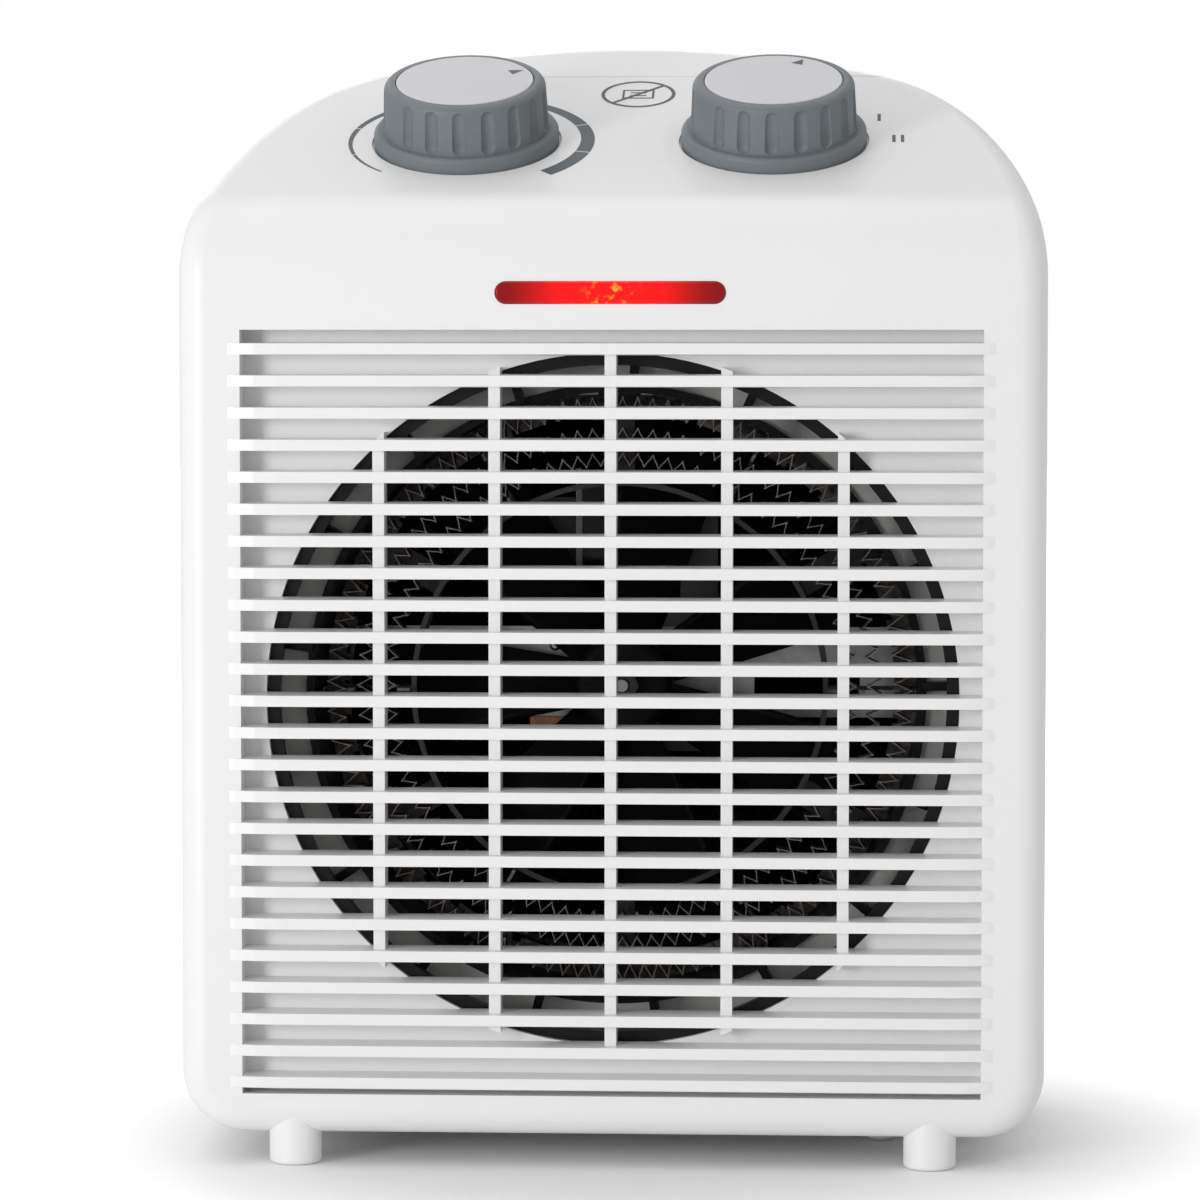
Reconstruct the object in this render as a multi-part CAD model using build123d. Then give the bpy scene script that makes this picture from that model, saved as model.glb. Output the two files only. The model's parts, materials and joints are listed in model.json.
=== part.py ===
import os
from math import atan2, cos, pi, radians, sin, sqrt, tan

from build123d import *

# Upright fan convector heater. X is the width, the louvred front faces -Y, Z is up.
# The origin is on the floor, under the middle of the case.

# Driving dimensions, in millimetres and degrees
body_width = 220.0
body_height = 285.8
body_depth = 130.0
wall = 2.5
foot_height = 6.5
corner_radius = 17.5
shoulder_radius = 56.0
arch_radius = 285.0
edge_radius = 7.0
blend_radius = 24.0
panel_tilt = 23.0
crest_share = 0.857
louvre_pitch = 8.0
louvre_height = 2.7
knob_diameter = 42.4
knob_height = 16.4
knob_spacing = 79.2
shaft_diameter = 6.0
motor_shaft_diameter = 4.0
screw_diameter = 3.0
plunger_diameter = 8.0
plunger_travel = 4.5
fit_gap = 0.05
rim_gap = 0.2

# Places along the depth are measured back from the flat front of the case
louvre_bulge = 1.5
front_y = -body_depth / 2 + louvre_bulge
back_y = body_depth / 2
depth_step = body_depth / 130.0


def deep(distance):
    return front_y + distance * depth_step


seam_y = deep(92.0)
waist_y = deep(114.0)
half_width = body_width / 2
panel_low_z = body_height - crest_share * body_depth * tan(radians(panel_tilt))
grille_half = half_width - 17.4
grille_low = foot_height + 11.9
grille_high = panel_low_z - 28.3
axis_z = (grille_low + grille_high) / 2 + 3.1
duct_radius = min(grille_half - 5.5, (grille_high - grille_low) / 2 - 8.7)
knob_y = deep(48.0)


def block(x0, x1, y0, y1, z0, z1):
    return Pos((x0 + x1) / 2, (y0 + y1) / 2, (z0 + z1) / 2) * Box(x1 - x0, y1 - y0, z1 - z0)


def rod(radius, y0, y1, x=0.0, z=axis_z):
    return Pos(x, (y0 + y1) / 2, z) * Rot(90, 0, 0) * Cylinder(radius, y1 - y0)


def sleeve(outer, inner, y0, y1, x=0.0, z=axis_z):
    return rod(outer, y0, y1, x, z) - rod(inner, y0 - 1, y1 + 1, x, z)


def post(radius, x, y, z0, z1):
    return Pos(x, y, (z0 + z1) / 2) * Cylinder(radius, z1 - z0)


def spin(shape, degrees):
    # turn about the fan axis, clockwise as seen from the front
    return Pos(0, 0, axis_z) * Rot(0, degrees, 0) * Pos(0, 0, -axis_z) * shape


def panel_z(y):
    return panel_low_z + (y - front_y) * tan(radians(panel_tilt))


def on_panel(x):
    # frame on the sloping control panel, its Z pointing out of the case
    tilt = radians(panel_tilt)
    spot = Plane(origin=(x, knob_y, panel_z(knob_y)), x_dir=(1, 0, 0), z_dir=(0, -sin(tilt), cos(tilt)))
    return spot.location


def outline(y, shrink):
    # front view of the case: flat base, round lower corners, shoulders and an arched top
    half, low, high = half_width - shrink, foot_height + shrink, body_height - shrink
    corner, shoulder, arch = corner_radius - shrink, shoulder_radius - shrink, arch_radius - shrink
    arch_z = high - arch
    side_x = half - shoulder
    side_z = arch_z + sqrt((arch - shoulder) ** 2 - side_x ** 2)
    lean = atan2(side_z - arch_z, side_x)
    end_x, end_z = arch * cos(lean), arch_z + arch * sin(lean)
    mid_x, mid_z = side_x + shoulder * cos(lean / 2), side_z + shoulder * sin(lean / 2)
    bend = corner * (1 - sqrt(0.5))
    edges = [Edge.make_line((corner - half, y, low), (half - corner, y, low))]
    edges += [Edge.make_three_point_arc((-end_x, y, end_z), (0, y, high), (end_x, y, end_z))]
    for side in (-1, 1):
        edges += [
            Edge.make_three_point_arc(
                (side * (half - corner), y, low),
                (side * (half - bend), y, low + bend),
                (side * half, y, low + corner),
            ),
            Edge.make_line((side * half, y, low + corner), (side * half, y, side_z)),
            Edge.make_three_point_arc(
                (side * half, y, side_z), (side * mid_x, y, mid_z), (side * end_x, y, end_z)
            ),
        ]
    return Wire(edges)


def envelope(inset):
    # whole case as one solid, shrunk by inset on every side
    front = Solid.make_loft([outline(waist_y, inset), outline(front_y - 3, inset + 1.6)], ruled=True)
    rear = Solid.make_loft([outline(waist_y, inset), outline(back_y + 3, inset + 2.4)], ruled=True)
    near_y, far_y = front_y + inset, back_y - inset
    drop = inset / cos(radians(panel_tilt))
    near_z, far_z = panel_z(near_y) - drop, panel_z(far_y) - drop
    side = Face(Wire.make_polygon([(0, near_y, -20), (0, far_y, -20), (0, far_y, far_z), (0, near_y, near_z)]))
    side = side.fillet_2d(blend_radius - inset, [side.vertices().sort_by_distance((0, near_y, near_z))[0]])
    body = (front + rear) & extrude(side, amount=body_width, dir=(1, 0, 0), both=True)
    rims = []
    for edge in body.edges():
        run, middle = edge.tangent_at(0.5), edge.position_at(0.5)
        along_waist = abs(middle.Y - waist_y) < 0.01 and abs(run.Y) < 0.01
        along_blend = abs(run.X) > 0.9995 and middle.Z > foot_height + 40
        if abs(run.Y) < 0.99 and not along_waist and not along_blend:
            rims.append(edge)
    return fillet(rims, edge_radius - inset)


def slab(y0, y1):
    return block(-body_width, body_width, y0, y1, -50, body_height + 50)


parts = {}
outer = envelope(0)
inner = envelope(wall)
hollow = outer - inner
lip_outer = envelope(wall / 2 + fit_gap)
lip_socket = envelope(wall / 2 - rim_gap / 2)
groove = envelope(0.6)

# Front shell with its louvred opening, tray and round-holed panel
tray_wall = 2.0
tray_back = deep(10.0)
front_shell = hollow & slab(front_y - 5, seam_y)
front_shell -= lip_socket & slab(seam_y - 4.2, seam_y + 1)
front_shell -= slab(seam_y - 0.6, seam_y + 1) - groove
front_shell -= block(-grille_half, grille_half, front_y - 5, front_y + 8, grille_low, grille_high)
tray = block(
    -grille_half - tray_wall, grille_half + tray_wall, front_y + 0.6, tray_back,
    grille_low - tray_wall, grille_high + tray_wall,
)
tray -= block(-grille_half, grille_half, front_y - 5, deep(8.0), grille_low, grille_high)
tray -= rod(duct_radius, front_y - 5, tray_back + 5)
front_shell += tray

louvre_start = grille_low + 1.7 + louvre_height / 2
louvre_count = int((grille_high - louvre_start - louvre_height / 2) / louvre_pitch) + 1
bar_end = grille_half + 4.5
bar_plan = make_face(
    Polyline(
        (-bar_end, front_y + 0.4), (-bar_end + 3, front_y - 0.4), (-bar_end + 8, front_y - 1.2),
        (-bar_end + 14, front_y - louvre_bulge), (bar_end - 14, front_y - louvre_bulge),
        (bar_end - 8, front_y - 1.2), (bar_end - 3, front_y - 0.4), (bar_end, front_y + 0.4),
        (grille_half + 1, deep(2.0)), (grille_half + 1, deep(8.5)), (-grille_half - 1, deep(8.5)),
        (-grille_half - 1, deep(2.0)), (-bar_end, front_y + 0.4),
    )
)
nose, heel = louvre_height / 2, louvre_height / 2 + 0.35
bar_side = make_face(
    Plane.YZ * Polyline(
        (front_y - 2, -nose), (deep(8.6), -heel), (deep(8.6), heel), (front_y - 2, nose), (front_y - 2, -nose)
    )
)
louvre = extrude(bar_plan, amount=6, both=True) & extrude(bar_side, amount=body_width, both=True)
bars = [Pos(0, 0, louvre_start + louvre_pitch * i) * louvre for i in range(louvre_count)]
front_shell += bars
for i in range(-2, 3):
    rib_x = i * duct_radius / 3
    rib = block(rib_x - 1.45, rib_x + 1.45, front_y + 1.5, tray_back - 0.4, grille_low, grille_high)
    front_shell += rib & rod(duct_radius + 0.8, front_y, tray_back)
for side in (-1, 1):
    for x, z in (
        (grille_half - 16, grille_high - 12),
        (grille_half - 5, grille_high - 12),
        (grille_half - 5, grille_low + 12),
        (grille_half - 16, grille_low + 12),
    ):
        front_shell += rod(0.75, deep(7.2), deep(8.4), side * x, z)

# Lens slot
lens_z = panel_low_z - 19.1
lens_length, lens_height = 57.2, 5.3


def stadium(length, height, y0, y1):
    flat = SlotOverall(length, height)
    return Pos(0, y0, lens_z) * Rot(90, 0, 0) * extrude(flat, amount=-(y1 - y0))


front_shell -= stadium(lens_length + 2 * rim_gap, lens_height + 2 * rim_gap, front_y - 3, front_y + 6)

# Control panel: a shallow round pocket, a boss and a round hole for each knob
skirt_radius = knob_diameter / 2 + 2.6
neck_radius = shaft_diameter / 2 + 1.9
knob_x = {"thermostat": -knob_spacing / 2, "switch": knob_spacing / 2}
for x in knob_x.values():
    front_shell += on_panel(x) * (Pos(0, 0, -3.2) * Cylinder(neck_radius + 7, 1.6))
    front_shell -= on_panel(x) * (Pos(0, 0, 9.0) * Cylinder(skirt_radius + 0.7, 20))
    front_shell -= on_panel(x) * Cylinder(neck_radius + 0.2, 20)

# Feet, moulded with each half of the case
foot_radius = 6.6
foot_x = half_width - 30


def foot(x, y):
    solid = post(foot_radius, x, y, 0, foot_height + 5.5)
    return fillet(solid.edges().group_by(Axis.Z)[0], 1.3)


for side in (-1, 1):
    front_shell += foot(side * foot_x, front_y + 7.2)

# Bosses for the case screws, standing on the grille panel
boss_x = grille_half - 4.6
boss_low, boss_high = grille_low + 9.6, grille_high - 4.2
case_spots = [(side * boss_x, z) for side in (-1, 1) for z in (boss_low, boss_high)]
screw_radius = screw_diameter / 2
screw_seat_y = seam_y + 14
screw_tip_y = seam_y - 24
for x, z in case_spots:
    front_shell += rod(screw_radius + 3, tray_back - 1, seam_y - 0.1, x, z)
    front_shell -= rod(screw_radius + fit_gap, screw_tip_y - 1, seam_y + 1, x, z)

# Bosses for the duct screws, on the diagonals of the round hole
duct_outer = duct_radius + 2.9
ear_reach = duct_outer + 6.8
ear_spots = [
    (sx * ear_reach * sqrt(0.5), axis_z + sz * ear_reach * sqrt(0.5)) for sx in (-1, 1) for sz in (-1, 1)
]
ear_y = deep(20.0)
for x, z in ear_spots:
    front_shell += rod(screw_radius + 2.4, tray_back - 1, ear_y, x, z)
    front_shell -= rod(screw_radius - 0.2 + fit_gap, tray_back + 1.0, ear_y + 1, x, z)

# Plunger guide and the two posts of the tip-over switch, on the floor of the case
tip_x, tip_y = half_width - 42, deep(49.0)
plunger_radius = plunger_diameter / 2
guide_top = foot_height + 11.5
tip_post_top = foot_height + 6
tip_posts = [(tip_x + side * (plunger_radius + 9.5), tip_y) for side in (-1, 1)]
front_shell += post(plunger_radius + 2.5, tip_x, tip_y, foot_height + 0.8, guide_top)
front_shell -= post(plunger_radius + fit_gap, tip_x, tip_y, -5, guide_top + 5)
for x, y in tip_posts:
    front_shell += post(screw_radius + 2.0, x, y, foot_height + 0.8, tip_post_top)
    front_shell -= post(screw_radius - 0.4 + fit_gap, x, y, foot_height + wall + 0.6, tip_post_top + 5)
parts["front_shell"] = front_shell

# Rear shell with a tongue that slides inside the front shell
rear_shell = hollow & slab(seam_y, back_y + 5)
rear_shell += (lip_outer - inner) & slab(seam_y - 4.0, seam_y + 0.5)
intake_radius = duct_radius - 12
slot_pitch, slot_height = 6.0, 2.8
slot_count = int(intake_radius / slot_pitch)
slots = []
for i in range(-slot_count, slot_count + 1):
    middle = axis_z + slot_pitch * i
    slots.append(block(-body_width, body_width, back_y - wall - 4, back_y + 5, middle - slot_height / 2,
                       middle + slot_height / 2))
rear_shell -= Part() + slots & rod(intake_radius, back_y - wall - 3, back_y + 4)
for i in range(-2, 3):
    rib_x = i * intake_radius * 0.36
    rib = block(rib_x - 1.2, rib_x + 1.2, back_y - wall - 2.6, back_y - 0.9, 0, body_height)
    rear_shell += rib & rod(intake_radius + 2, back_y - wall - 5, back_y)

# Dust filter pad behind the intake slots
filter_y = back_y - wall - 2.6
parts["intake_filter"] = rod(intake_radius + 3, filter_y - 2.5, filter_y)

# Finger recess high on the back
grip_low, grip_high = body_height - 40, body_height - 19
grip_half = half_width - 60
pocket = block(-grip_half, grip_half, back_y - 22, back_y + 5, grip_low, grip_high)
pocket = fillet(pocket.edges().filter_by(Axis.Y), 7)
liner = block(-grip_half - 2, grip_half + 2, back_y - 24, back_y - 1, grip_low - 2, grip_high + 2)
liner = fillet(liner.edges().filter_by(Axis.Y), 9)
rear_shell += liner & outer
rear_shell -= pocket

# Cord inlet low on the back, a rounded rectangle with an inner collar
inlet_x, inlet_z = half_width - 45, foot_height + 24


def inlet(width, height, radius, y0, y1):
    solid = block(
        inlet_x - width / 2, inlet_x + width / 2, y0, y1, inlet_z - height / 2, inlet_z + height / 2
    )
    return fillet(solid.edges().filter_by(Axis.Y), radius)


rear_shell += inlet(17, 14, 4, back_y - wall - 6, back_y - 1)
rear_shell -= inlet(19, 16, 5, back_y - 0.8, back_y + 5)
rear_shell -= inlet(11, 8, 2.5, back_y - wall - 10, back_y + 5)
for x, z in case_spots:
    rear_shell += rod(screw_radius + 4.6, seam_y, back_y - 1, x, z)
    rear_shell -= rod(screw_radius + 0.3, seam_y - 1, back_y, x, z)
    rear_shell -= rod(screw_radius + 2.6, screw_seat_y, back_y + 5, x, z)
for side in (-1, 1):
    rear_shell += foot(side * foot_x, back_y - 15)
parts["rear_shell"] = rear_shell


def screw(radius, head_radius, length):
    # pan head screw standing on Z, its seat at zero and its shank downwards
    head = Pos(0, 0, radius * 0.8) * Cylinder(head_radius, radius * 1.6)
    head = fillet(head.edges().group_by(Axis.Z)[-1], radius * 0.7)
    shank = Pos(0, 0, -length / 2) * Cylinder(radius, length)
    shank = chamfer(shank.edges().group_by(Axis.Z)[0], radius * 0.45)
    body = head + shank
    for turn in (0, 90):
        slot = Box(head_radius * 1.2, radius * 0.45, radius * 1.5)
        body -= Pos(0, 0, radius * 1.6) * Rot(0, 0, turn) * slot
    return body


def screws_from_back(spots, seat_y, tip_y, radius, head_radius):
    lone = Rot(-90, 0, 0) * screw(radius, head_radius, seat_y - tip_y)
    return Compound(children=[Pos(x, seat_y, z) * lone for x, z in spots])


parts["case_screws"] = screws_from_back(
    case_spots, screw_seat_y, screw_tip_y, screw_radius, screw_radius + 2.1
)

# Indicator: lens, neon bulb and its holder
lens = stadium(lens_length, lens_height, front_y - 0.6, front_y + wall + 0.1)
lens = fillet(lens.edges().group_by(Axis.Y)[0], 0.5)
lens += stadium(lens_length + 4, lens_height + 3.6, front_y + wall, front_y + wall + 1.5)
parts["indicator_lens"] = lens
lamp_y = front_y + wall + 1.5
holder = block(-16, 16, lamp_y, lamp_y + 12, lens_z - 4.6, lens_z + 4.6)
holder -= block(-14, 14, lamp_y - 1, lamp_y + 10.4, lens_z - 3.2, lens_z + 3.2)
parts["lamp_holder"] = holder
bulb = Pos(0, lamp_y + 5, lens_z) * Rot(0, 90, 0) * Cylinder(2.9, 28)
parts["indicator_lamp"] = fillet(bulb.edges().filter_by(GeomType.CIRCLE), 1.2)

# Air duct: outer tube, inner ring joined by bridges, rear step and fan shroud
ring_radius = duct_radius - 10.1
shroud_radius = duct_radius - 13.1
duct_front, duct_step, duct_end = deep(10.1), deep(56.0), deep(80.0)
air_duct = sleeve(duct_outer, duct_radius - 3.1, duct_front, deep(14.0))
air_duct += sleeve(duct_outer, duct_outer - 2.4, duct_front, duct_step + 1)
air_duct += sleeve(duct_outer, shroud_radius, duct_step, duct_step + 2.4)
air_duct += sleeve(shroud_radius + 2.5, shroud_radius, duct_step, duct_end)
air_duct += sleeve(ring_radius + 2, ring_radius, deep(25.0), duct_step + 1)
bridge_count = 17
for i in range(bridge_count):
    bridge = block(-1.1, 1.1, deep(22.0), deep(27.0), axis_z + ring_radius + 1, axis_z + duct_outer - 1)
    air_duct += spin(bridge, 3.4 + 360 / bridge_count * i)
ear_seat = ear_y + 3.1
for turn in (45, 135, 225, 315):
    ear = block(-5.5, 5.5, ear_y + 0.1, ear_seat, axis_z + duct_radius, axis_z + ear_reach)
    ear += rod(5.5, ear_y + 0.1, ear_seat, 0, axis_z + ear_reach)
    air_duct += spin(ear, turn) - rod(duct_outer - 1, ear_y - 5, ear_y + 5)
for x, z in ear_spots:
    air_duct -= rod(screw_radius + 0.2, ear_y - 5, ear_y + 5, x, z)
lug_x = duct_outer - 8
lug_end = deep(81.0)
for side in (-1, 1):
    lug = block(side * lug_x - 6, side * lug_x + 6, deep(66.0), lug_end, axis_z - 8, axis_z + 8)
    air_duct += lug - rod(shroud_radius + 1, deep(60.0), deep(90.0))
    air_duct -= rod(screw_radius + fit_gap, lug_end - 9, lug_end + 1, side * lug_x, axis_z)
block_y, block_half, pad_top = deep(46.0), 14.0, axis_z + duct_outer + 2
cutout_x, cutout_radius = -duct_radius * 0.36, 8.0
cutout_z = axis_z + duct_outer - 1.2
pads = block(-block_half, block_half, block_y - 8, block_y + 8, axis_z, pad_top)
pads += block(cutout_x - 9, cutout_x + 5, block_y - 9, block_y + 9, axis_z, cutout_z)
air_duct += pads - rod(duct_outer - 1, block_y - 12, block_y + 12)
strips = []
for x in (-8, 8):
    air_duct -= block(x - 2.8, x + 2.8, block_y - 0.6, block_y + 0.6, axis_z + ring_radius - 2, pad_top + 1)
    strips.append(block(x - 2.5, x + 2.5, block_y - 0.4, block_y + 0.4, axis_z + ring_radius - 0.95, pad_top))
parts["air_duct"] = air_duct
parts["element_terminals"] = Compound(children=strips)
parts["duct_collar"] = sleeve(duct_outer - 2.4 - fit_gap, ring_radius + 2 + fit_gap, deep(27.0), deep(29.0))
parts["duct_screws"] = screws_from_back(ear_spots, ear_seat, tray_back + 2.0, screw_radius - 0.2, 2.9)

# Heating element: three zigzag ribbons held by mica combs on a steel ring
mica_thick = 0.8
mica_y = duct_step - mica_thick
mica_radius = ring_radius - 0.1
ribbon_front, ribbon_back = deep(42.0), deep(50.0)
ribbon_rings = {
    "outer": (ring_radius - 6.4, ring_radius - 1.0),
    "middle": (ring_radius - 13.2, ring_radius - 9.0),
    "inner": (ring_radius - 19.5, ring_radius - 15.5),
}
fold_pitch = 3.8
fold_depth = 1.1
for name, (low, high) in ribbon_rings.items():
    folds = int(2 * pi * (low + high) / 2 / fold_pitch)
    loops = []
    for offset in (0, fold_depth):
        points = []
        for i in range(2 * folds):
            angle = pi * i / folds
            reach = (high if i % 2 else low + fold_depth) - offset
            points.append((reach * sin(angle), reach * cos(angle)))
        loops.append(Polyline(*points, close=True))
    zigzag = make_face(loops[0]) - make_face(loops[1])
    ribbon = extrude(zigzag, amount=ribbon_back - ribbon_front)
    parts[f"heating_ribbon_{name}"] = Pos(0, ribbon_back, axis_z) * Rot(90, 0, 0) * ribbon

mica_ring = sleeve(mica_radius, mica_radius - 5.9, mica_y, duct_step)
for i in range(48):
    notch = block(-1.2, 1.2, mica_y - 1, duct_step + 1, axis_z + mica_radius - 8, axis_z + mica_radius - 4.4)
    mica_ring -= spin(notch, 7.5 * i)
parts["mica_ring"] = mica_ring

comb_inner = ring_radius - 23.0
comb = block(-0.4, 0.4, deep(40.0), mica_y, axis_z + comb_inner, axis_z + ring_radius - 0.5)
for low, high in ribbon_rings.values():
    comb -= sleeve(high + 0.3, low - 0.3, deep(36.0), ribbon_back + 0.3)
comb_angles = [60 * i + 30 for i in range(6)]
parts["mica_combs"] = Compound(children=[spin(comb, angle) for angle in comb_angles])
bracket = sleeve(comb_inner - 0.05, comb_inner - 1.4, deep(44.0), mica_y)
for i in range(6):
    arm = block(-3.5, 3.5, mica_y - 1.0, mica_y, axis_z + comb_inner - 1, axis_z + ring_radius - 0.4)
    bracket += spin(arm, 60 * i)
parts["element_bracket"] = bracket

# Terminal block and thermal cut-out on top of the duct
terminal_block = block(-13, 13, block_y - 7, block_y + 7, pad_top, pad_top + 11)
for i in range(-1, 2):
    terminal_block -= block(8 * i - 3, 8 * i + 3, block_y - 5, block_y + 5, pad_top + 6, pad_top + 12)
parts["terminal_block"] = terminal_block
tabs = []
for i in range(-1, 2):
    tabs.append(block(8 * i - 2.6, 8 * i + 2.6, block_y - 4.6, block_y + 4.6, pad_top + 6, pad_top + 7))
parts["block_contacts"] = Compound(children=tabs)
cutout = post(cutout_radius, cutout_x - 2, block_y, cutout_z, cutout_z + 6)
parts["thermal_cutout"] = fillet(cutout.edges().group_by(Axis.Z)[-1], 0.8)
tabs = []
for side in (-1, 1):
    x = cutout_x - 2 + side * 4.5
    tabs.append(block(x - 0.4, x + 0.4, block_y - 3.2, block_y + 3.2, cutout_z + 6, cutout_z + 14))
parts["cutout_terminals"] = Compound(children=tabs)

# Fan impeller
hub_radius = 13.0
fan_radius = shroud_radius - 2.0
fan_front, fan_back = deep(60.0), deep(77.0)
shaft_radius = motor_shaft_diameter / 2
fan = rod(hub_radius, fan_front, fan_back - 2)
fan = fillet(fan.edges().group_by(Axis.Y)[0], 3)
fan -= rod(hub_radius - 2, fan_front + 3, fan_back)
fan += rod(shaft_radius + 3.5, fan_front + 1, fan_back - 2)
fan_middle = (fan_front + fan_back) / 2 - 0.5
blade_count = 7
blade_reach = fan_radius - hub_radius
sections = []
for share, chord, pitch in ((0.0, 17, 52), (0.5, 26, 34), (1.0, 33, 24)):
    height = axis_z + hub_radius - 1 + (blade_reach + 3) * share
    flat = Pos(0, fan_middle, height) * Rot(0, 0, pitch) * Rectangle(chord, 1.8)
    sections.append(flat)
blade = loft(sections) & rod(fan_radius, fan_front + 0.5, fan_back)
for i in range(blade_count):
    fan += spin(blade, 360 / blade_count * i + 12)
fan -= rod(shaft_radius + 0.01, fan_front - 5, fan_back + 5)
parts["fan_impeller"] = fan
shaft_front, shaft_back = deep(56.0), deep(116.0)
motor_shaft = rod(shaft_radius, shaft_front, shaft_back)
parts["motor_shaft"] = chamfer(motor_shaft.edges().filter_by(GeomType.CIRCLE), 0.4)
fan_nut = Pos(0, fan_front, axis_z) * Rot(90, 0, 0) * extrude(RegularPolygon(4.5, 6), amount=3)
parts["fan_nut"] = fan_nut - rod(shaft_radius + 0.01, fan_front - 5, fan_front + 1)

# Motor: lamination stack with a bored lower part and a coil round its top bar
plate_front, plate_back = lug_end, lug_end + 1.6
cheek_front = plate_back + 4.8 * depth_step
core_front = cheek_front + 2.6
core_back = core_front + 18 * depth_step
cheek_back = core_back + 2.6
bore_radius = 12.5
core_half = 24.0
motor_spots = [(side * 19.0, axis_z + 9) for side in (-1, 1)]
core = block(-core_half, core_half, core_front, core_back, axis_z - 20, axis_z + 48)
core = fillet(core.edges().filter_by(Axis.Y), 3)
core -= block(-14, 14, core_front - 1, core_back + 1, axis_z + 18, axis_z + 37)
core -= rod(bore_radius, core_front - 1, core_back + 1)
rings = []
for side in (-1, 1):
    x0, x1 = sorted((side * 13.6, side * 26.2))
    ring = block(x0, x1, core_front - 1.6, core_back + 1.6, axis_z - 13.2, axis_z - 10.8)
    x0, x1 = sorted((side * 15.2, side * 24.6))
    ring -= block(x0, x1, core_front - 0.1, core_back + 0.1, axis_z - 20, axis_z)
    rings.append(ring)
    x0, x1 = sorted((side * 13.5, side * 15.3))
    core -= block(x0, x1, core_front - 1, core_back + 1, axis_z - 13.3, axis_z - 10.7)
for x, z in motor_spots:
    core -= rod(screw_radius + 0.1, core_front - 1, core_back + 1, x, z)
parts["motor_core"] = core
parts["shading_rings"] = Compound(children=rings)
bobbin_span = block(-13.5, 13.5, core_front - 2, core_back + 2, axis_z + 35, axis_z + 50)
bobbin = bobbin_span
for side in (-1, 1):
    x0, x1 = sorted((side * 11.9, side * 13.5))
    bobbin += block(x0, x1, core_front - 8, core_back + 8, axis_z + 29, axis_z + 56)
bobbin -= block(-20, 20, core_front - 0.05, core_back + 0.05, axis_z + 36.95, axis_z + 48.05)
parts["motor_bobbin"] = bobbin
coil = block(-11.8, 11.8, core_front - 7.2, core_back + 7.2, axis_z + 29.8, axis_z + 55.2)
coil = fillet(coil.edges().filter_by(Axis.X), 3)
parts["motor_coil"] = coil - bobbin_span
rotor = rod(bore_radius - 0.4, core_front + 0.5, core_back - 0.5)
rotor = chamfer(rotor.edges().filter_by(GeomType.CIRCLE), 0.8)
parts["rotor"] = rotor - rod(shaft_radius + 0.01, core_front - 1, core_back + 1)

bush_radius = shaft_radius + 2.6
hub_reach = 5.2 * depth_step
ends = {
    "front": (cheek_front - hub_reach + 1.6, core_front),
    "rear": (core_back, cheek_back + hub_reach - 1.2),
}
bushes = []
for name, (y0, y1) in ends.items():
    cheek_y = (cheek_front, core_front) if name == "front" else (core_back, cheek_back)
    cheek = block(-core_half + 0.5, core_half - 0.5, cheek_y[0], cheek_y[1], axis_z - 7, axis_z + 13.5)
    cheek = fillet(cheek.edges().filter_by(Axis.Y), 4)
    cheek += rod(bush_radius + 2, y0, y1)
    cheek -= rod(bush_radius, y0 - 1, y1 + 1)
    for x, z in motor_spots:
        cheek -= rod(screw_radius + 0.1, y0 - 5, y1 + 5, x, z)
    parts[f"bearing_bracket_{name}"] = cheek
    bushes.append(sleeve(bush_radius, shaft_radius + 0.04, y0, y1))
parts["bearing_bushes"] = Compound(children=bushes)

plate = block(-duct_outer - 0.5, duct_outer + 0.5, plate_front, plate_back, axis_z - 10, axis_z + 14)
plate = fillet(plate.edges().filter_by(Axis.Y), 5)
plate -= rod(bush_radius + 2.6, plate_front - 1, plate_back + 1)
for side in (-1, 1):
    plate -= block(side * 48 - 14, side * 48 + 14, plate_front - 1, plate_back + 1, axis_z - 4, axis_z + 4)
    plate -= rod(screw_radius + 0.2, plate_front - 1, plate_back + 1, side * lug_x, axis_z)
for x, z in motor_spots:
    plate -= rod(screw_radius + fit_gap, plate_front - 1, plate_back + 1, x, z)
parts["motor_bracket"] = plate
spacers = [sleeve(4.0, screw_radius + 0.1, plate_back, cheek_front, x, z) for x, z in motor_spots]
parts["motor_spacers"] = Compound(children=spacers)
parts["motor_screws"] = screws_from_back(motor_spots, cheek_back, plate_front - 1, screw_radius, 3.2)
lug_spots = [(side * lug_x, axis_z) for side in (-1, 1)]
parts["bracket_screws"] = screws_from_back(lug_spots, plate_back, lug_end - 8, screw_radius, 3.2)

# Controls on the sloping panel; shapes stand on Z and are then placed on the panel
shaft_half = shaft_diameter / 2
grip_radius = knob_diameter / 2
body_top = -4.0
neck_end = 3.6
stem_low, stem_high = -16.0, knob_height - 4.4
flat_depth = 0.8


def key_bar(radius, z0, z1, flat_from):
    # round bar with one flat above flat_from
    bar = Pos(0, 0, (z0 + z1) / 2) * Cylinder(radius, z1 - z0)
    cut = Pos(0, radius - flat_depth + 5, (flat_from + z1) / 2 + 5) * Box(20, 10, z1 - flat_from + 10)
    return bar - cut


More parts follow.
